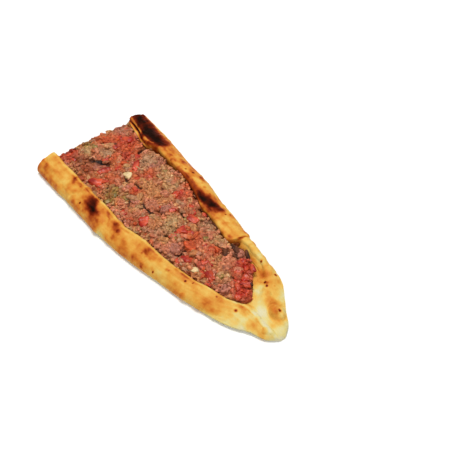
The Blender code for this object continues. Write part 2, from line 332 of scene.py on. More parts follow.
DOTS = (
    (185, -27.4, 0.9), (190.4, -24, 0.5), (228, -11.9, 1.4), (211, -17, 0.5), (247.8, 13.4, 1.2),
    (225, 20.4, 1.1), (220, 33.6, 1.2), (221, 22, 1.0), (217, 11, 1.0), (95, 45, 0.8), (64, -50, 0.7),
    (160, -41, 0.7), (205, 31.5, 0.8), (150, 38, 0.6), (88, 42, 0.8))
PLAIN_BAKE = 0.4
BLISTERS = 130
STATION_STEP = 0.65
TIP_ROUND = 20


def lines_at(stations, side, entry):
    """One measure of a fold (see fold) at many stations."""
    grid = numpy.arange(0, LENGTH, 1.0)
    return numpy.interp(stations, grid, [fold(float(station), side)[entry] for station in grid])


def ovals(station, y, spots):
    """The sum of soft-edged oval spots at many places."""
    total = numpy.zeros(len(station))
    for at, across, reach, width, turn, change in spots:
        turned = math.radians(turn)
        along_spot = (station - at) * math.cos(turned) + (y - across) * math.sin(turned)
        beside = (y - across) * math.cos(turned) - (station - at) * math.sin(turned)
        total += change * numpy.exp(-((along_spot / reach) ** 2 + (beside / width) ** 2) ** 1.3)
    return total


bread_stations = list(numpy.arange(0, LENGTH - TIP_ROUND, STATION_STEP))
quarter = numpy.linspace(0.0, math.pi / 2, 30)
bread_stations += list(LENGTH - 0.5 - (TIP_ROUND - 0.5) * (1 - numpy.sin(quarter)))
bread = to_object("bread", boat_shape(bread_stations, bread_upper, bread_corner, 24))
mesh = bread.data
points, normals = read_shape(mesh)
station = points[:, 0] - CUT_X
y, z = points[:, 1], points[:, 2]
side_of = numpy.where(y > TIP_SIDE * (station / LENGTH) ** 2, 1, -1)
lip_y = numpy.where(side_of > 0, lines_at(station, 1, 1), lines_at(station, -1, 1))
crest_z = numpy.where(side_of > 0, lines_at(station, 1, 2), lines_at(station, -1, 2))
from_lip = side_of * (y - lip_y)
cut_face = (smooth_step(-0.72, -0.93, normals[:, 0])) * (station < 3.4)
crust_skin = smooth_step(0.3, 3.0, z) * (1 - cut_face)

warp = 2.6 * noise_at(points, 7.0, 3.0) + 1.0 * noise_at(points, 2.6, 4.0)
warp_y = 1.6 * noise_at(points, 6.0, 7.0) + 0.9 * noise_at(points, 2.2, 8.0)
baked = PLAIN_BAKE + ovals(station + warp, y + warp_y, SCORCHES)
baked += 0.17 * noise_at(points, 15.0, 1.0) + 0.11 * noise_at(points, 6.0, 2.0)
baked -= 0.12 * smooth_step(4.5, 0.8, z)
for at, across, size in DOTS:
    baked += 0.5 * numpy.exp(-(((station - at) ** 2 + (y - across) ** 2) / size ** 2) ** 1.5)

baked -= 0.1 * smooth_step(214, 232, station)

# Wrinkles run along the folds, and one crease follows each lip, painted darker as shade in its groove.
streaks = numpy.column_stack((station / 26, from_lip / 1.9 + wander(1, 1, 2), 7.0 * side_of))
streak = noise_at(streaks, 1.0)
crease = numpy.exp(-((from_lip - 3.6 - 1.2 * noise_at(streaks, 2.0, 5.0)) / 0.7) ** 2)
crease *= smooth_step(0.0, 0.25, noise_at(numpy.column_stack((station / 11, side_of, z * 0)), 1.0, 9.0))
plain_rim = (side_of > 0) * smooth_step(168, 178, station)
streak *= 1 - 0.7 * plain_rim
crease *= 1 - plain_rim
lift = 0.34 * streak - 0.5 * crease
baked += 0.07 * streak + 0.1 * crease

# Gas in the dough raised blisters, some of which browned.
dice = random.Random(5)
domes = [number for number in range(len(points)) if z[number] > 5 and from_lip[number] > 1]
for number in dice.sample(domes, BLISTERS):
    size = 1.1 + 4.4 * dice.random() ** 2.2
    away = ((points - points[number]) ** 2).sum(axis=1) / size ** 2
    dome = numpy.clip(1 - away, 0, 1) ** 0.8
    lift += min(0.8, 0.24 * size) * dome
    baked += dice.uniform(-0.05, 0.16) * dome

lift += 0.3 * noise_at(points, 10.0) + 0.14 * noise_at(points, 3.2) + 0.07 * noise_at(points, 1.4)
lift *= crust_skin

# A round button of dough puffed up beside the tip, with a crease round it.
at, across, size, height = KNOB
away = numpy.hypot(station - at, y - across) / size
button = height * numpy.exp(-away ** 5) - KNOB_GROOVE * numpy.exp(-((away - 1.22) / 0.2) ** 2)
lift += button * smooth_step(2.0, 5.0, z) * (station > 225)
# The crease round the button is painted darker, as shade in its groove.
baked += 0.06 * numpy.exp(-((away - 1.2) / 0.22) ** 2) * (z > 3)

# The far flap ends in a torn edge, with a crack behind it that is sunk and painted dark as shade.
torn = numpy.exp(-((station - FLAP_END - 0.4 - 0.6 * noise_at(points, 3.0, 6.0)) / 0.7) ** 2)
torn *= smooth_step(29, 32, y) * smooth_step(40.5, 38, y)
lift -= 0.5 * torn
baked += 0.32 * torn

# The slit is painted dark inside, as shade in the gap, and both its lips are pale.
by_slit = (side_of > 0) * (from_lip < 8) * (station < SLIT_LENGTH + 1) * (1 - cut_face)
below = crest_z - z
slit_shade = by_slit * smooth_step(0.9, 1.7, from_lip) * smooth_step(2.4, 3.0, below) * (below < 4.6)
lip_edge = numpy.exp(-((from_lip + 0.8) / 1.0) ** 2) * smooth_step(5.6, 4.6, below)
lip_edge += numpy.exp(-((from_lip - 3.0) / 0.7) ** 2) * (below < 2.6)
baked += 0.3 * slit_shade - 0.16 * by_slit * lip_edge
# A paler band along the near lip is a painted highlight on its edge.
baked -= 0.08 * (side_of < 0) * smooth_step(-0.6, 0.6, from_lip) * smooth_step(3.2, 2.0, from_lip)

# The knife left an open crumb at the cut, with the seam where each flap lies on the dough below.
width = numpy.where(side_of > 0, lines_at(station, 1, 0), lines_at(station, -1, 0)) - lip_y
inward = numpy.clip(from_lip / numpy.abs(width), -0.2, 1.2)
seam = numpy.exp(-((z - BASE - 2.0 - 1.2 * numpy.sin(3 * inward)) / 0.5) ** 2)
seam *= smooth_step(0.78, 0.6, inward) * (from_lip > -0.5) * cut_face
pores = smooth_step(0.12, 0.42, noise_at(points, 1.7)) + 0.6 * smooth_step(0.05, 0.5, noise_at(points, 3.4))
lift -= (0.7 * pores + 0.9 * seam) * cut_face

# Juice from the filling stained and darkened the lips where it boiled against them; the dark strip on the
# inner walls is also painted shade.
soak_line = numpy.interp(station, (0, 50, 66, 86, 110, 118, 145, 170, 178),
                         (-6.0, -3.4, -1.4, 1.2, 1.4, 0.2, -0.6, -0.6, -6.0)) * (side_of > 0)
soak_line += numpy.interp(station, (0, 100, 190, 215), (-1.0, -0.8, -1.0, -6.0)) * (side_of < 0)
soaked_and_shaded = 0.8 * smooth_step(1.2, -1.0, from_lip - soak_line + 1.6 * noise_at(points, 4.0, 6.0))
soaked_and_shaded *= (z > 5) * smooth_step(-3.4, -2.4, from_lip) * smooth_step(222, 214, station) * (1 - cut_face)

points += normals * lift[:, None]
points[:, 2] = points[:, 2].clip(0.0)
points[:, 0] = points[:, 0].clip(CUT_X)
write_shape(mesh, points)
mark(mesh, "baked", numpy.where(z < 0.05, PLAIN_BAKE, baked))
mark(mesh, "crumb", cut_face)
# The seam mark also carries the pores, painted darker as shade in their holes.
mark(mesh, "seam", seam + 0.5 * pores * cut_face)
mark(mesh, "soaked_and_shaded", soaked_and_shaded)


def paint(red, green, blue):
    """A linear colour from the 0 to 255 values of a display."""
    shares = (value / 255 for value in (red, green, blue))
    return tuple(s / 12.92 if s <= 0.04045 else ((s + 0.055) / 1.055) ** 2.4 for s in shares) + (1.0,)


def feed(tree, node, inputs):
    """Sets or links the inputs of a node, given as (socket, value or output socket) pairs."""
    for socket, value in inputs:
        if isinstance(value, bpy.types.NodeSocket):
            tree.links.new(value, node.inputs[socket])
        else:
            node.inputs[socket].default_value = value


def add(tree, kind, inputs=(), **settings):
    """Adds a node with its settings and inputs."""
    node = tree.nodes.new("ShaderNode" + kind)
    for name, value in settings.items():
        setattr(node, name, value)
    feed(tree, node, inputs)
    return node


def new_material(name):
    """A material with its node tree, its Principled shader and the object's own coordinates."""
    material = bpy.data.materials.new(name)
    material.use_nodes = True
    tree = material.node_tree
    return material, tree, tree.nodes["Principled BSDF"], add(tree, "TexCoord").outputs["Object"]


def grain(tree, coordinates, size, detail=3.0, roughness=0.55):
    """Noise whose lumps measure about size millimetres."""
    inputs = (("Vector", coordinates), ("Scale", 0.6 / (size * MM)), ("Detail", detail),
              ("Roughness", roughness))
    return add(tree, "TexNoise", inputs).outputs["Fac"]


def reading(tree, name, output="Fac"):
    """The number or colour that a mesh stores under a name."""
    return add(tree, "Attribute", attribute_name=name).outputs[output]


def sums(tree, operation, first, second):
    """One sum on two values or sockets."""
    return add(tree, "Math", ((0, first), (1, second)), operation=operation).outputs[0]


def spread(tree, value, low, high, new_low=0.0, new_high=1.0):
    """Stretches one range of a value onto another."""
    inputs = (("Value", value), ("From Min", low), ("From Max", high), ("To Min", new_low),
              ("To Max", new_high))
    return add(tree, "MapRange", inputs).outputs["Result"]


def blend(tree, share, first, second, way="MIX"):
    """Mixes two colours."""
    inputs = ((0, share), (6, first), (7, second))
    return add(tree, "Mix", inputs, data_type="RGBA", blend_type=way).outputs[2]


def ramp(tree, value, stops):
    """Colours along a value, as (place, colour) stops."""
    node = add(tree, "ValToRGB", (("Fac", value),))
    elements = node.color_ramp.elements
    for place_on_ramp, colour in stops[1:-1]:
        elements.new(place_on_ramp).color = colour
    elements[0].position, elements[0].color = stops[0]
    elements[-1].position, elements[-1].color = stops[-1]
    return node.outputs["Color"]


def bumps(tree, shader, height, strength, distance):
    """Fine relief from a height, distance in millimetres."""
    inputs = (("Height", height), ("Strength", strength), ("Distance", distance * MM))
    feed(tree, shader, (("Normal", add(tree, "Bump", inputs).outputs[0]),))


material, tree, shader, where = new_material("baked dough")
level = reading(tree, "baked")
for size, strength in ((5.0, 0.2), (1.8, 0.17)):
    uneven = sums(tree, "MULTIPLY", sums(tree, "SUBTRACT", grain(tree, where, size), 0.5), strength)
    level = sums(tree, "ADD", level, uneven)
dough = ramp(tree, level, (
    (0.04, paint(206, 198, 160)), (0.16, paint(208, 191, 120)), (0.28, paint(214, 172, 82)),
    (0.4, paint(207, 145, 56)), (0.5, paint(194, 112, 34)), (0.6, paint(158, 68, 18)),
    (0.7, paint(112, 34, 9)), (0.82, paint(68, 18, 5)), (0.96, paint(28, 10, 4))))
juice = blend(tree, grain(tree, where, 3.0), paint(180, 84, 26), paint(116, 38, 12))
wetted = blend(tree, reading(tree, "soaked_and_shaded"), dough, juice)
opened = blend(tree, grain(tree, where, 2.5), paint(222, 190, 130), paint(242, 224, 178))
# The cut crumb darkens along the seam, and in its pores as painted shade.
opened = blend(tree, reading(tree, "seam"), opened, paint(176, 122, 66))
surface = blend(tree, reading(tree, "crumb"), wetted, opened)
feed(tree, shader, (("Base Color", surface), ("Roughness", spread(tree, level, 0.3, 0.8, 0.62, 0.45)),
                    ("Specular IOR Level", spread(tree, level, 0.5, 0.72, 0.12, 0.02))))
skin = sums(tree, "ADD", grain(tree, where, 0.9), sums(tree, "MULTIPLY", grain(tree, where, 3.0), 1.5))
bumps(tree, shader, skin, 0.4, 0.7)
mesh.materials.append(material)
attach(bread, "root")
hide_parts("crust")

# ---- The imported heap ------------------------------------------------------------------------------------
# Minced meat fried with tomato, pepper and onion and baked until it holds together. This is the packed bulk
# of it, moist with juice and painted darker in its folds and gaps as shade; the crumbs and pieces that show
# lie on it.

FILLING_END = 227.0
FILLING_SIDE = 9.0
FILLING_FAR = (
    (178, 24.6), (186, 28.4), (196, 27), (205, 22.6), (213, 17), (220, 10.8), (225, 5.6), (228, 1))
FILLING_TOP = ((0, -1.4), (40, -0.4), (80, 0.4), (150, 0.8), (200, 0), (218, -0.8), (228, -2.2))
CORE_DROP = 0.7
CORE_ACROSS = 120
CORE_STEP = 0.62
CORE_ROUNDING = 9.6
OPEN_ROUNDING = 19
CROWN = 2.0
LUMP_REACH = 12
LUMP_RISE = 2.0

# Long gaps between lumps, sunk and painted dark as shade: (station, Y) of both ends and the half width.
GAPS = (
    (24, -16, 38, -7, 2.4), (98, -9.6, 105, -11, 1.5), (105, -11, 112, -9.2, 1.5),
    (160.5, -11, 160, -17, 1.3), (63, -4, 67, -5, 1.2), (179, 16, 183, 12, 1.6), (187, 18.6, 191, 18, 1.2),
    (41, 30, 43, 22, 1.2), (24, -21, 27, -20, 1.1), (112, 10, 114, 2, 1.2), (92, 14, 96, 12.4, 1.0),
    (203, 3, 209, 2.4, 1.1), (216, 10, 219, 8, 1.1), (144, 12, 150, 10, 1.1), (135, -13, 142, -12, 1.1),
    (52, 16, 56, 20, 1.1), (76, -2, 83, -1, 1.1), (124, 10, 131, 9, 1.1), (172, 12, 176, 14, 1.1),
    (60, -18, 64, -24, 1.1), (16, 8, 20, 12, 1.2), (88, -16, 92, -20, 1.0))


def wall(station, side, height):
    """Y of a fold's inner wall at a height."""
    outer, lip, crest, floor, scale = fold(station, side)
    drop = min(LIP_DROP, (crest - floor) / 2)
    foot = lip + side * UNDERCUT * scale
    return foot + (lip - foot) * (height - floor) / (crest - drop - floor)


@functools.cache
def heap(station):
    """Near edge, far edge, mean height and floor of the heap at a station."""
    near = wall(station, -1, FILLING_SIDE)
    far = wall(station, 1, FILLING_SIDE) if station < FILLING_FAR[0][0] else along(FILLING_FAR, station)
    return near, far, FILLING_SIDE + along(FILLING_TOP, station), along(FLOOR, station)


def heap_top(station, y):
    """The heap's top at a point: a low crown with broad lumps, as the solid part has it."""
    near, far, mean, floor = heap(round(station, 1))
    across = max(0.0, min(1.0, (y - near) / (far - near)))
    spot = Vector((station / LUMP_REACH, y / LUMP_REACH, 4.0))
    lumps = LUMP_RISE * (noise.noise(spot) + 0.6 * noise.noise(2.3 * spot))
    clumps = 0.8 - 2.4 * abs(noise.noise(1.5 * spot + Vector((9, 0, 0))))
    return max(mean + CROWN * math.sin(math.pi * across) + lumps + clumps, floor + 1.5)


def in_gap(station, y):
    """1 in the middle of a dark gap, and 0 outside all of them."""
    deepest = 0.0
    here = Vector((station, y))
    for x1, y1, x2, y2, half in GAPS:
        start, run = Vector((x1, y1)), Vector((x2 - x1, y2 - y1))
        share = max(0.0, min(1.0, (here - start).dot(run) / run.length_squared))
        away = (here - start - run * share).length / half
        deepest = max(deepest, math.exp(-away ** 3))
    return deepest


def core_upper(station):
    """The core's upper outline at a station, from the near wall to the far one."""
    near, far, _, floor = heap(round(station, 1))
    open_side = station >= FILLING_FAR[0][0]
    outline = []
    for step in range(CORE_ACROSS + 1):
        y = near + (far - near) * step / CORE_ACROSS
        far_rounding = OPEN_ROUNDING if open_side else CORE_ROUNDING
        shoulder = min(1.0, (step + 0.6) / CORE_ROUNDING, (CORE_ACROSS + 0.6 - step) / far_rounding)
        rise = heap_top(station, y) - CORE_DROP - floor
        outline.append((y, floor + 0.3 + max(0.6, rise) * math.sqrt(shoulder)))
    return outline


def core_corner(station, side):
    """The short step from the core's edge down to the bread's floor."""
    outline = core_upper(station)
    y, z = outline[0] if side < 0 else outline[-1]
    return [(y, z), (y - side * 0.2, heap(round(station, 1))[3] + 0.1)]


# Stains in the heap: what colours the meat about a place, as (station, Y, reach, colour). The DARK ones by
# the burnt scraps are partly painted shade in crevices.
TAN = paint(188, 132, 86)
TAUPE = paint(172, 132, 102)
BEIGE = paint(180, 146, 104)
PINK = paint(192, 122, 94)
LILAC = paint(172, 112, 96)
BROWN = paint(132, 70, 38)
OLIVE = paint(136, 112, 50)
ORANGE = paint(188, 80, 38)
RED = paint(172, 42, 20)
DARK = paint(66, 24, 12)
PLAIN_MEAT = paint(158, 92, 54)
STAINING = 0.74
STAINS = (
    (22, 24, 9, RED), (8, 26, 8, LILAC), (8, 6, 8, ORANGE), (14, 15, 8, ORANGE), (24, 13, 6, RED),
    (34, 14, 9, ORANGE), (44, 19, 7, ORANGE), (32, 26, 6, ORANGE), (6, -9, 6, OLIVE), (11, -14, 7, BEIGE),
    (25, -1, 9, TAUPE), (36, -14, 6, LILAC), (48, -2, 6, ORANGE), (34, 1, 6, ORANGE), (6, -27, 9, RED),
    (18, -24, 8, BROWN), (32, -26, 8, BROWN), (58, 25, 11, TAUPE), (64, 30, 6, LILAC), (75, 28, 7, BEIGE),
    (73, 14, 6, ORANGE), (60, 14, 6, TAUPE), (70, -22, 7, OLIVE), (75, -28, 5, OLIVE), (83, -16, 5, OLIVE),
    (70, 5, 6, ORANGE), (88, 5, 11, TAN), (104, 8, 8, TAN), (105, -5, 8, PINK), (82, -6, 6, ORANGE),
    (95, -24, 9, PINK), (58, -14, 7, ORANGE), (109, 24, 8, PINK), (116, 4, 6, LILAC), (122, 5, 5, ORANGE),
    (129, 0, 8, BEIGE), (135, -9, 7, BEIGE), (122, -14, 6, TAN), (112, 26, 6, ORANGE), (134, -18, 8, TAUPE),
    (126, 22, 6, PINK), (133, 24, 7, BROWN), (152, 20, 9, TAUPE), (158, 14, 7, PINK), (153, 6, 7, ORANGE),
    (160, -3, 8, ORANGE), (155, -17, 8, LILAC), (168, 16, 7, BEIGE), (174, 7, 7, ORANGE), (166, 2, 6, PINK),
    (180, -5, 6, RED), (185, 0, 6, TAN), (189, 22, 7, LILAC), (192, 8, 8, PINK), (200, -2, 6, BEIGE),
    (208, -7, 7, LILAC), (202, 14, 8, RED), (210, 8, 8, RED), (221, 2, 8, RED), (200, 22, 6, RED),
    (183, 26, 5, DARK), (150, 25, 5, DARK), (181, 14, 4, DARK), (217, 11, 3, DARK), (41, 11, 5, RED),
    (108, 20, 5, RED), (33, -12, 4, DARK), (110, -4, 4, BROWN), (156, 29, 4, DARK), (164, 27, 3, BROWN),
    (96, 20, 6, BEIGE), (83, 24, 6, BEIGE), (146, -20, 6, PINK))


def stained(station, y, colour):
    """A colour changed by the stains about a place."""
    colour = Vector(colour[:3])
    for at, across, reach, stain in STAINS:
        away = ((station - at) ** 2 + (y - across) ** 2) / reach ** 2
        if away < 3:
            colour = colour.lerp(Vector(stain[:3]), STAINING * math.exp(-away * away))
    return colour


core_stations = list(numpy.arange(0, FILLING_END - 0.4, CORE_STEP)) + [FILLING_END]
core = to_object("packed_meat", boat_shape(core_stations, core_upper, core_corner, 12), 75)
mesh = core.data
points, normals = read_shape(mesh)
ridges = noise_at(points, 3.4, 2.0)
folded = noise_at(points + 2.6 * ridges[:, None], 2.3, 5.0)
crumbly = 1 - 2.6 * numpy.abs(folded)
tints = numpy.ones((len(points), 4))
for number, (x, y, z) in enumerate(points):
    gap = in_gap(x - CUT_X, y)
    mixed = stained(x - CUT_X, y, PLAIN_MEAT)
    # The core is painted lighter on its ridges and darker in its folds and gaps, as painted light and shade.
    tints[number, :3] = mixed * (0.84 + 0.26 * max(-1.0, crumbly[number])) * (1 - 0.9 * gap)
    depth = 0.6 * crumbly[number] + 0.8 * ridges[number] - 1.9 * gap
    points[number] += normals[number] * depth * (normals[number][2] > -0.3)
write_shape(mesh, points)
mesh.attributes.new("tint", "FLOAT_COLOR", "POINT").data.foreach_set("color", tints.ravel())


def meat_material(name, gloss):
    """Cooked meat: the colour of each piece, mottled with fat and juice, and moist."""
    material, tree, shader, where = new_material(name)
    tint = reading(tree, "tint", "Color")
    fibre = grain(tree, where, 1.3, 4.0)
    paler = blend(tree, 1.0, tint, (1.24, 1.18, 1.08, 1), "MULTIPLY")
    darker = blend(tree, 1.0, tint, (0.7, 0.54, 0.38, 1), "MULTIPLY")
    mottled = blend(tree, spread(tree, fibre, 0.36, 0.64), darker, paler)
    juice = spread(tree, grain(tree, where, 5), 0.5, 0.7, 0.0, 0.35)
    feed(tree, shader, (
        ("Base Color", blend(tree, juice, mottled, paint(176, 80, 38))), ("Specular IOR Level", 0.28),
        ("Roughness", spread(tree, grain(tree, where, 2.4), 0.3, 0.7, gloss, gloss + 0.3)),
        ("Subsurface Weight", 0.2), ("Subsurface Radius", (1.0, 0.45, 0.25)),
        ("Subsurface Scale", 1.6 * MM)))
    bumps(tree, shader, sums(tree, "ADD", fibre, grain(tree, where, 0.7)), 0.8, 1.1)
    return material


mesh.materials.append(meat_material("juicy mince", 0.36))
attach(core, "root")
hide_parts("filling")

# ---- The large lumps of meat ----------------------------------------------------------------------------
# Where the mince stayed in lumps it stands out of the heap, rounded and cracked. Each lump is many crumbs
# pressed together.

# Station, Y, length, width, turn in degrees and colour.
LUMPS = (
    (57, 25, 14, 11, 20, TAUPE), (66, 21, 9, 7, 70, LILAC), (105, -4.2, 15, 10, -6, PINK),
    (93, 6, 12, 9, 30, TAN), (128, -1, 10, 15, 0, BEIGE), (153, 19.5, 12, 8, 10, TAUPE),
    (161, 16, 10, 8, -40, PINK), (154, -15, 10, 11, 0, LILAC), (160, -4.6, 12, 9, 10, ORANGE),
    (189, 22.6, 8, 6, -10, LILAC), (27, -1, 13, 9, 20, TAUPE), (194, 6, 10, 8, 40, PINK),
    (141, -17, 11, 8, 20, TAN), (116, 2, 7, 12, 6, LILAC), (85, -22, 10, 7, 30, PINK),
    (170, 18, 9, 6, 0, BEIGE), (12, -14, 10, 8, 30, BEIGE), (37, -18, 8, 6, 60, LILAC),
    (76, 5, 9, 7, -30, TAN), (100, 12, 8, 7, 40, PINK), (132, -22, 8, 6, 10, PINK), (146, 8, 8, 7, 70, TAN),
    (183, 6, 8, 6, 10, TAN), (208, -8, 8, 6, -40, LILAC), (48, 6, 9, 7, 50, ORANGE),
    (10, 8, 10, 8, 40, ORANGE), (80, 20, 8, 7, 10, BEIGE), (98, -20, 8, 7, -20, TAN),
    (62, -11, 8, 6, 0, PINK), (33, 18, 8, 7, 40, ORANGE), (121, -9, 6, 6, 0, TAN), (176, -2, 7, 5, 30, PINK),
    (201, 12, 7, 5, 60, PINK))
CHUNK_PITCH = 9.2
MEAT_TONES = (BROWN, ORANGE, TAN, BEIGE, TAN, PINK, PINK, TAUPE, LILAC, PINK, ORANGE, BROWN)


def inside(places, station, y):
    """How near a spot lies to the closest of some ovals, below 1 within its outline."""
    nearest = 9.0
    for at, across, length, width, turned in places:
        turned = math.radians(turned)
        ahead = (station - at) * math.cos(turned) + (y - across) * math.sin(turned)
        beside = (y - across) * math.cos(turned) - (station - at) * math.sin(turned)
        nearest = min(nearest, math.hypot(2 * ahead / length, 2 * beside / width))
    return nearest


def scatter(pitch, dice):
    """Uneven places over the heap, as (station, Y)."""
    for x in numpy.arange(0.5, FILLING_END - 1, pitch):
        near, far = heap(round(float(x), 1))[:2]
        for y in numpy.arange(near + 0.8, far - 0.6, pitch):
            yield x + dice.uniform(-0.5, 0.5) * pitch, y + dice.uniform(-0.5, 0.5) * pitch


def edge_fall(station, y):
    """How far the heap's top falls away by an open edge."""
    near, far = heap(round(station, 1))[:2]
    if station < FILLING_FAR[0][0]:
        return 0.9 * math.exp(-min(y - near, far - y) / 1.2)
    return 3.2 * math.exp(-max(0.0, far - y) / 2.0) + 0.9 * math.exp(-max(0.0, y - near) / 1.2)


def lie_of(name):
    """The middle, the length, width and height, and the turn of a solid piece of the heap."""
    low, high = (Vector(corner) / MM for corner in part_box(name))
    middle = (low + high) / 2
    corners = numpy.array([corner.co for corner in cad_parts[name].data.vertices]) / MM
    flat = (corners - numpy.array(middle))[:, :2]
    axes = numpy.linalg.eigh(flat.T @ flat)[1]
    reach = flat @ axes
    spans = (numpy.ptp(reach[:, 1]), numpy.ptp(reach[:, 0]), high.z - low.z)
    return middle - Vector((CUT_X, 0, 0)), spans, math.degrees(math.atan2(axes[1][1], axes[0][1]))


def meat_tone(station, y, dice):
    """The colour of one bit of mince: much like its neighbours, and changing slowly over the heap."""
    share = 0.5 + 0.8 * noise.noise(Vector((station / 6, y / 6, 8.0))) + dice.uniform(-0.16, 0.16)
    place_in_row = max(0.0, min(0.999, share)) * (len(MEAT_TONES) - 1)
    first = Vector(MEAT_TONES[int(place_in_row)][:3])
    tone = first.lerp(Vector(MEAT_TONES[int(place_in_row) + 1][:3]), place_in_row % 1)
    paler = 1 + 0.26 * noise.noise(Vector((station / 4.4, y / 4.4, 12.0))) + dice.uniform(-0.1, 0.1)
    return stained(station, y, tone) * paler


def flow_turn(station, y, dice):
    """The way a piece lies: loosely with its neighbours."""
    flow = 2.4 * math.pi * noise.noise(Vector((station / 15, y / 15, 3.0))) + dice.uniform(-0.7, 0.7)
    return Matrix.Rotation(flow, 3, "Z") @ Matrix.Rotation(dice.uniform(-0.3, 0.3), 3, "Y")


def lump(bm, fineness, tints, spot, size, turn, colour, dice):
    """Adds one lump of mince: many crumbs pressed into a rounded, cracked mass."""
    shift = Vector((dice.uniform(0, 60), 0, 0))
    made = bmesh.ops.create_icosphere(bm, subdivisions=fineness, radius=1.0)
    for corner in made["verts"]:
        raw = Vector(a * b / 2 for a, b in zip(corner.co, size))
        drawn = Vector((raw.x * 0.6, raw.y, raw.z))
        broad = noise.noise(raw / 4.2 + shift)
        grains = noise.noise(drawn / 2.2 + shift)
        cracks = max(0.0, 1 - abs(noise.noise((drawn + Vector((broad, grains, 0))) / 2.3 + shift * 2)) * 3)
        grown = raw + corner.co.normalized() * (1.6 * broad + 0.7 * grains - 0.6 * cracks + 0.3)
        corner.co = place(*(spot + turn @ grown))
        # Cracks are painted darker as shade, and upward faces a little lighter as painted light.
        painted_shading = 0.97 + 0.3 * grains - 0.36 * cracks + 0.08 * corner.normal.z
        corner[tints] = (*(colour * painted_shading), 1.0)


tomatoes, others = [], []
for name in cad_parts:
    if name.startswith("tomato_"):
        tomatoes.append(name)
    elif name not in ("crust", "filling"):
        others.append(name)
lies = map(lie_of, tomatoes + others)
laid = [(spot.x, spot.y, spans[0], spans[1], turned) for spot, spans, turned in lies]
big = [entry[:5] for entry in LUMPS]

dice = random.Random(21)
bm = bmesh.new()
tints = bm.verts.layers.float_color.new("tint")
for station, y, length, width, turned, colour in LUMPS:
    spot = Vector((station, y, heap_top(station, y) - 0.7))
    turn = Matrix.Rotation(math.radians(turned), 3, "Z")
    lump(bm, 5, tints, spot, (length, width, 4.6), turn, Vector(colour[:3]), dice)
lumps = to_object("meat_lumps", bm, 80)
meat_looks = meat_material("lump of mince", 0.32)
lumps.data.materials.append(meat_looks)
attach(lumps, "root")
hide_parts("filling")

bm = bmesh.new()
tints = bm.verts.layers.float_color.new("tint")
chunk_places = []
for station, y in scatter(CHUNK_PITCH, dice):
    near, far = heap(round(min(station, FILLING_END), 1))[:2]
    length, width = dice.uniform(6, 10), dice.uniform(4.4, 6.6)
    if not 3 < station < FILLING_END - 3 or not near + 2.5 < y < far - 2.5:
        continue
    if inside(big, station, y) < 1.05 or inside(laid, station, y) < 1.1 or in_gap(station, y) > 0.05:
        continue
    spot = Vector((station, y, heap_top(station, y) - edge_fall(station, y) - 0.6))
    colour = meat_tone(station, y, dice)
    lump(bm, 4, tints, spot, (length, width, dice.uniform(3, 4)), flow_turn(station, y, dice), colour, dice)
    chunk_places.append((station, y, length, width, 0))
chunks = to_object("meat_chunks", bm, 80)
chunks.data.materials.append(meat_looks)
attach(chunks, "root")
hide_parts("filling")

# ---- The meat shreds and crumbs -------------------------------------------------------------------------
# The rest of the mince fell apart as it fried. Its shreds and crumbs lie between the lumps and at the cut
# end, half sunk and pressed together.

SHRED_PITCH = 5.0
CRUMB_PITCH = 3.3
CUT_CRUMBS = 230


def copies(template, count):
    """A bmesh with many copies of one shape, its tint layer, and the corners of each copy."""
    bm = bmesh.new()
    tints = bm.verts.layers.float_color.new("tint")
    for _ in range(count):
        bm.from_mesh(template)
    corners, each = list(bm.verts), len(template.vertices)
    return bm, tints, [corners[start:start + each] for start in range(0, len(corners), each)]


def torn_bits(name, fineness, recipes, dice):
    """One object with every crumb or shred in a list, each torn from a ball into a shape of its own."""
    bm = bmesh.new()
    bmesh.ops.create_icosphere(bm, subdivisions=fineness, radius=1.0)
    ball = bpy.data.meshes.new("ball")
    bm.to_mesh(ball)
    bm.free()
    bm, tints, balls = copies(ball, len(recipes))
    for corners, (spot, size, turn, colour) in zip(balls, recipes):
        shift = Vector((dice.uniform(0, 60), 0, 0))
        bend, taper = dice.uniform(-0.3, 0.3) * size[0], dice.uniform(-0.45, 0.45)
        for corner in corners:
            x, y, z = corner.co
            raw = Vector((x * size[0], y * size[1] * (1 + taper * x), z * size[2])) / 2
            knobs = 1.5 * noise.noise(raw / 2.4 + shift) + 0.6 * noise.noise(raw / 1.2 + shift)
            raw += corner.co * knobs + Vector((0, bend, -0.12 * size[0])) * (x * x - 0.35)
            corner.co = place(*(spot + turn @ raw))
            # Each bit is painted lighter on top and on its bulges and darker below, as painted light and
            # shade.
            corner[tints] = (*(colour * (0.84 + 0.24 * z + 0.22 * knobs)), 1.0)
    bits = to_object(name, bm, 80)
    bits.data.materials.append(meat_material(name.replace("_", " "), 0.3))
    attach(bits, "root")
    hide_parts("filling")


dice = random.Random(12)
recipes = []
for station, y in scatter(SHRED_PITCH, dice):
    near, far = heap(round(min(station, FILLING_END), 1))[:2]
    if not 1.5 < station < FILLING_END - 1.5 or not near + 1 < y < far - 1 or in_gap(station, y) > 0.06:
        continue
    if inside(big, station, y) < 0.75 or inside(chunk_places, station, y) < 0.5 \
            or inside(laid, station, y) < 1.1:
        continue
    length, width = dice.uniform(4, 8.4), dice.uniform(2.2, 3.6)
    height = heap_top(station, y) - edge_fall(station, y) - dice.uniform(0.2, 0.9)
    spot = Vector((station, y, height))
    recipes.append((spot, (length, width, width), flow_turn(station, y, dice), meat_tone(station, y, dice)))
torn_bits("meat_shreds", 3, recipes, dice)

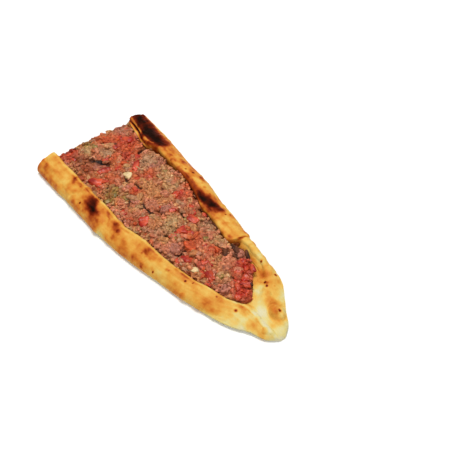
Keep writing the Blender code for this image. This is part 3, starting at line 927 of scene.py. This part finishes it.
dice = random.Random(11)
recipes = []
for station, y in scatter(CRUMB_PITCH, dice):
    if not 1.2 < station < FILLING_END or in_gap(station, y) > 0.16:
        continue
    if inside(big, station, y) < 0.85 and dice.random() < 0.75:
        continue
    if inside(chunk_places, station, y) < 0.8 and dice.random() < 0.85:
        continue
    if inside(laid, station, y) < 0.85 and dice.random() < 0.8:
        continue
    width = 1.3 + 2.3 * dice.random() ** 1.6
    size = (width * dice.uniform(1.0, 1.9), width, width * dice.uniform(0.7, 1.0))
    height = heap_top(station, y) - edge_fall(station, y) - dice.uniform(0.0, 0.9)
    recipes.append((Vector((station, y, height)), size, flow_turn(station, y, dice),
                    meat_tone(station, y, dice)))
for _ in range(CUT_CRUMBS):
    near, far, mean, floor = heap(0.0)
    y = dice.uniform(near + 1, far - 1)
    z = dice.uniform(floor + 0.8, heap_top(0.0, y) - 0.8)
    ragged = 2.2 * math.exp(-((y + 22) / 4) ** 2) * (z > 6.5)
    width = dice.uniform(1.6, 3.4)
    turn = Matrix.Rotation(dice.uniform(0.8, 2.3), 3, "Z") @ Matrix.Rotation(dice.uniform(-1.4, 1.4), 3, "Y")
    size = (width * dice.uniform(1.1, 1.9), width, width)
    colour = meat_tone(3.0, y, dice) * dice.uniform(0.7, 1.0)
    recipes.append((Vector((dice.uniform(1.0 - ragged, 2.2), y, z)), size, turn, colour))
torn_bits("meat_crumbs", 2, recipes, dice)

# ---- The tomato pieces ----------------------------------------------------------------------------------
# Tomato cut into dice, with the skin on one side. Baked, they are soft, sunken and wet, and lie half
# buried among the crumbs.

# Beyond this station each piece has come apart into four.
CLUSTER_START = 196.0
SKIN_RED = paint(154, 26, 11)
FLESH = paint(194, 72, 40)


def soft_dice(corners, tints, spot, size, turn, skin, flesh, dice):
    """Shapes one soft dice from a cube: a rounded, slumped block, redder on its skin side."""
    shift = Vector((dice.uniform(0, 60), 0, 0))
    taper = dice.uniform(-0.35, 0.35)
    for corner in corners:
        raw = corner.co.lerp(corner.co.normalized() * 1.24, 0.62)
        raw.y *= 1 + taper * raw.x
        slump = noise.noise(raw * 1.1 + shift)
        wrinkle = noise.noise(raw * 3.1 + shift)
        raw *= 1 + 0.42 * slump + 0.14 * wrinkle
        local = Vector(a * b / 2.25 for a, b in zip(raw, size))
        corner.co = place(*(spot + turn @ local))
        share = float(smooth_step(-0.5, 0.6, raw.x * 0.6 + raw.y * 0.5 + slump))
        corner[tints] = (*(flesh.lerp(skin, share) * (0.95 + 0.35 * wrinkle)), 1.0)


def wet_material(name, mottle, roughness, coat=0.15):
    """Soft wet vegetable flesh: the colour of each piece, mottled and glistening."""
    material, tree, shader, where = new_material(name)
    tint = reading(tree, "tint", "Color")
    seeds = spread(tree, grain(tree, where, 1.8), 0.5, 0.72, 0.0, 0.5)
    feed(tree, shader, (
        ("Base Color", blend(tree, seeds, tint, mottle)), ("Specular IOR Level", 0.2),
        ("Roughness", spread(tree, grain(tree, where, 1.5), 0.3, 0.7, roughness, roughness + 0.25)),
        ("Coat Weight", coat), ("Coat Roughness", 0.2)))
    bumps(tree, shader, sums(tree, "ADD", grain(tree, where, 1.6), grain(tree, where, 4.0)), 0.6, 0.9)
    return material


def divided_cube(name, cuts):
    """A cube whose faces are divided, ready to be shaped into dice."""
    bm = bmesh.new()
    bmesh.ops.create_cube(bm, size=2)
    bmesh.ops.subdivide_edges(bm, edges=bm.edges, cuts=cuts, use_grid_fill=True)
    mesh = bpy.data.meshes.new(name)
    bm.to_mesh(mesh)
    bm.free()
    return mesh


fine_cube = divided_cube("fine_cube", 7)
tomato_looks = wet_material("wet tomato", paint(194, 82, 42), 0.3)
dice = random.Random(31)
for name in sorted(tomatoes):
    spot, spans, turned = lie_of(name)
    turn = Matrix.Rotation(math.radians(turned), 3, "Z")
    parts = [(Vector((0, 0, 0)), spans)]
    if spot.x > CLUSTER_START:
        half = Vector(spans) * 0.27
        parts = [(Vector((a * half.x, b * half.y, dice.uniform(-0.3, 0.3))), Vector(spans) * 0.56)
                 for a in (-1, 1) for b in (-1, 1)]
        for _, dice_spans in parts:
            dice_spans.z = 0.9 * spans[2]
    bm, tints, cubes = copies(fine_cube, len(parts))
    for corners, (offset, part_spans) in zip(cubes, parts):
        lie = turn @ Matrix.Rotation(dice.uniform(-0.5, 0.5), 3, "Z") if len(parts) > 1 else turn
        skin = Vector(SKIN_RED[:3]) * dice.uniform(0.75, 1.2)
        flesh = Vector(FLESH[:3]) * dice.uniform(0.85, 1.15)
        soft_dice(corners, tints, spot + turn @ offset, part_spans, lie, skin, flesh, dice)
    piece = to_object("soft_" + name, bm, 80)
    piece.data.materials.append(tomato_looks)
    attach(piece, "root")
    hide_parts(name)

# ---- The garlic and the burnt pepper --------------------------------------------------------------------
# Two pieces of garlic, baked soft and pale, and a scrap of green pepper that burnt where it stood out
# beside the far fold.

garlic_looks = wet_material("soft garlic", paint(222, 196, 146), 0.4)
charred_looks = wet_material("charred pepper", paint(104, 56, 32), 0.6, 0)
KINDS = (("garlic_", "garlic", garlic_looks, paint(206, 176, 122), paint(216, 188, 138)),
         ("charred_pepper_", "charred_pepper", charred_looks, paint(56, 30, 18), paint(96, 50, 28)))
for start, slot, looks, skin, flesh in KINDS:
    for name in sorted(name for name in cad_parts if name.startswith(start)):
        spot, spans, turned = lie_of(name)
        turn = Matrix.Rotation(math.radians(turned), 3, "Z")
        bm, tints, cubes = copies(fine_cube, 1)
        soft_dice(cubes[0], tints, spot, spans, turn, Vector(skin[:3]), Vector(flesh[:3]), dice)
        piece = to_object("soft_" + name, bm, 80)
        piece.data.materials.append(looks)
        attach(piece, "root")
        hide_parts(name)

# ---- The small bits -------------------------------------------------------------------------------------
# Smaller bits of the same tomato, of green pepper and of onion, and a few scraps burnt black, chopped with
# the rest and stuck among the crumbs.

# Station, Y, length, width, height and turn of each bit.
TOMATO_BITS = (
    (142, -8, 8, 5, 3, 70), (22, 24, 10, 7, 3.6, 30), (14, 20, 8, 5, 3, -20), (30, 18, 7, 5, 3, 60),
    (24, 9, 7, 4, 3, 10), (6, -27, 8, 5, 4, 80), (12, -27, 6, 4, 3, 20), (36, 24, 7, 4, 3, 40),
    (48, -3, 8, 5, 3, -50), (45, 18, 9, 5, 3, 20), (74, 13, 8, 4, 3, 15), (61, 12, 5, 4, 3, -60),
    (70, 4, 6, 4, 3, 70), (82, -6, 6, 4, 3, 0), (88, -12, 5, 3, 2.6, 40), (107, 24, 6, 4, 3, -60),
    (112, 0, 5, 3, 3, 20), (125, 22, 7, 3, 3, 30), (132, 19, 6, 4, 3, -10), (121, 5, 6, 4, 3, 60),
    (150, 3, 7, 5, 3, 15), (165, -21, 6, 4, 3, -10), (179, -5, 9, 5, 3.4, 80), (174, 7, 7, 5, 3, 40),
    (203, 10, 7, 4, 3, 70), (214, 1, 7, 5, 3.4, -10), (221, -4, 6, 5, 3.2, 60), (206, 22, 8, 4, 3, -30),
    (196, 20, 6, 4, 3, 10), (187, -12, 6, 4, 3, 20), (184, -1, 6, 4, 3, -40), (216, 8, 7, 5, 3, 60),
    (209, 13, 7, 5, 3, 10), (198, -14, 6, 4, 3, 0), (166, 5, 6, 4, 3, -60), (140, 24, 5, 3, 3, 0),
    (56, -20, 6, 4, 3, 50), (33, -6, 6, 3, 3, 70), (8, 30, 7, 4, 3, 10), (96, -27, 6, 4, 3, 0))
PEPPER_BITS = (
    (68, -18, 7, 4, 3, 60), (74, -22, 8, 4, 3, -30), (70, -27, 6, 4, 3, 10), (76, -30, 6, 4, 3, 70),
    (83, -17, 7, 3, 3, 0), (5, -9, 8, 5, 3, 80), (13, -5, 6, 4, 3, 20), (75, 28, 6, 4, 3, 30),
    (197, -3, 5, 4, 3, 20), (161, 10, 5, 3, 3, 60), (118, -25, 5, 3, 3, 10), (134, 9, 4, 3, 3, 70),
    (47, 7, 4, 3, 3, 40), (146, -10, 4, 3, 3, 80))
ONION_BITS = (
    (84.5, 28.5, 4, 3.4, 2.4, 20), (101, -1, 6, 1.8, 2, 10), (150, -8, 6, 1.8, 2, -30),
    (186, -9, 5, 2, 2, 20), (171, 22, 5, 2.4, 2, 0), (88, -20, 5, 2, 2, 80), (120, 12, 7, 1.8, 2, 50),
    (200, 2, 6, 2.4, 2, -20), (18, 2, 6, 1.8, 2, 10))
# The burnt scraps beside the far fold stand partly for painted shade in the crevices there.
BURNT_BITS = (
    (181, 14.6, 8, 4, 1.8, -30), (188.6, 18.6, 6, 3, 1.8, 10), (217, 11, 4, 3, 1.8, 0),
    (192, 27.6, 9, 3, 1.8, -24), (154, 25.6, 10, 2.6, 1.8, 4), (142, 27, 7, 2.6, 1.6, 0),
    (20, 12, 8, 3.4, 1.6, 30), (43, 28, 6, 2.4, 1.6, -50))


def chopped(name, places, skin, flesh, looks, dice):
    """One object with every bit of one kind."""
    bm, tints, cubes = copies(coarse_cube, len(places))
    for corners, (station, y, length, width, height, turned) in zip(cubes, places):
        spot = Vector((station, y, heap_top(station, y) - 0.1 * height))
        turn = Matrix.Rotation(math.radians(turned), 3, "Z")
        turn = turn @ Matrix.Rotation(dice.uniform(-0.2, 0.2), 3, "X")
        shaded = Vector(skin[:3]) * dice.uniform(0.75, 1.15)
        soft_dice(corners, tints, spot, (length, width, height), turn, shaded, Vector(flesh[:3]), dice)
    bits = to_object(name, bm, 80)
    bits.data.materials.append(looks)
    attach(bits, "root")
    return bits


coarse_cube = divided_cube("coarse_cube", 5)
dice = random.Random(41)
chopped("tomato_bits", TOMATO_BITS, SKIN_RED, FLESH, tomato_looks, dice)
pepper_looks = wet_material("wet green pepper", paint(158, 126, 60), 0.36)
chopped("pepper_bits", PEPPER_BITS, paint(116, 94, 36), paint(152, 118, 60), pepper_looks, dice)
onion_looks = wet_material("soft onion", paint(222, 184, 134), 0.36)
chopped("onion_bits", ONION_BITS, paint(216, 176, 124), paint(204, 148, 98), onion_looks, dice)
chopped("burnt_bits", BURNT_BITS, paint(56, 30, 18), paint(100, 54, 30), charred_looks, dice)

# ---- Camera, floor and light ----------------------------------------------------------------------------
# A plain pale floor and broad soft light, with the camera above the tip's near side.

CAMERA_PLACE = Vector((344.5, -204.9, 474.0)) * MM
CAMERA_RIGHT = Vector((0.6065, 0.795, -0.0128))
CAMERA_UP = Vector((-0.5987, 0.4672, 0.6506))
LENS = 59.894

lens = bpy.data.cameras.new("camera")
lens.lens = LENS
lens.sensor_width = 36.0
camera = bpy.data.objects.new("camera", lens)
back = CAMERA_RIGHT.cross(CAMERA_UP)
turn = Matrix((CAMERA_RIGHT, CAMERA_UP, back)).transposed().to_4x4()
camera.matrix_world = Matrix.Translation(CAMERA_PLACE) @ turn
bpy.context.collection.objects.link(camera)
bpy.context.scene.camera = camera

bm = bmesh.new()
bmesh.ops.create_grid(bm, x_segments=1, y_segments=1, size=3.0)
floor = to_object("floor", bm)
material, tree, shader, where = new_material("pale floor")
pale = blend(tree, grain(tree, where, 60), (0.84, 0.85, 0.84, 1), (0.88, 0.88, 0.88, 1))
feed(tree, shader, (("Base Color", pale), ("Roughness", 0.7)))
floor.data.materials.append(material)


def soft_light(name, place_of_light, size, power):
    """A broad area light aimed at the middle of the pide."""
    lamp = bpy.data.lights.new(name, "AREA")
    lamp.size = size
    lamp.energy = power
    thing = bpy.data.objects.new(name, lamp)
    thing.location = place_of_light
    thing.rotation_euler = (-Vector(place_of_light)).to_track_quat("-Z", "Y").to_euler()
    bpy.context.collection.objects.link(thing)


soft_light("key", (-0.3, 0.25, 1.4), 0.6, 17.5)
soft_light("fill", (0.9, -0.7, 1.0), 1.2, 7)
world = bpy.data.worlds.new("studio")
world.use_nodes = True
feed(world.node_tree, world.node_tree.nodes["Background"], (("Color", (1, 1, 1, 1)), ("Strength", 0.42)))
bpy.context.scene.world = world
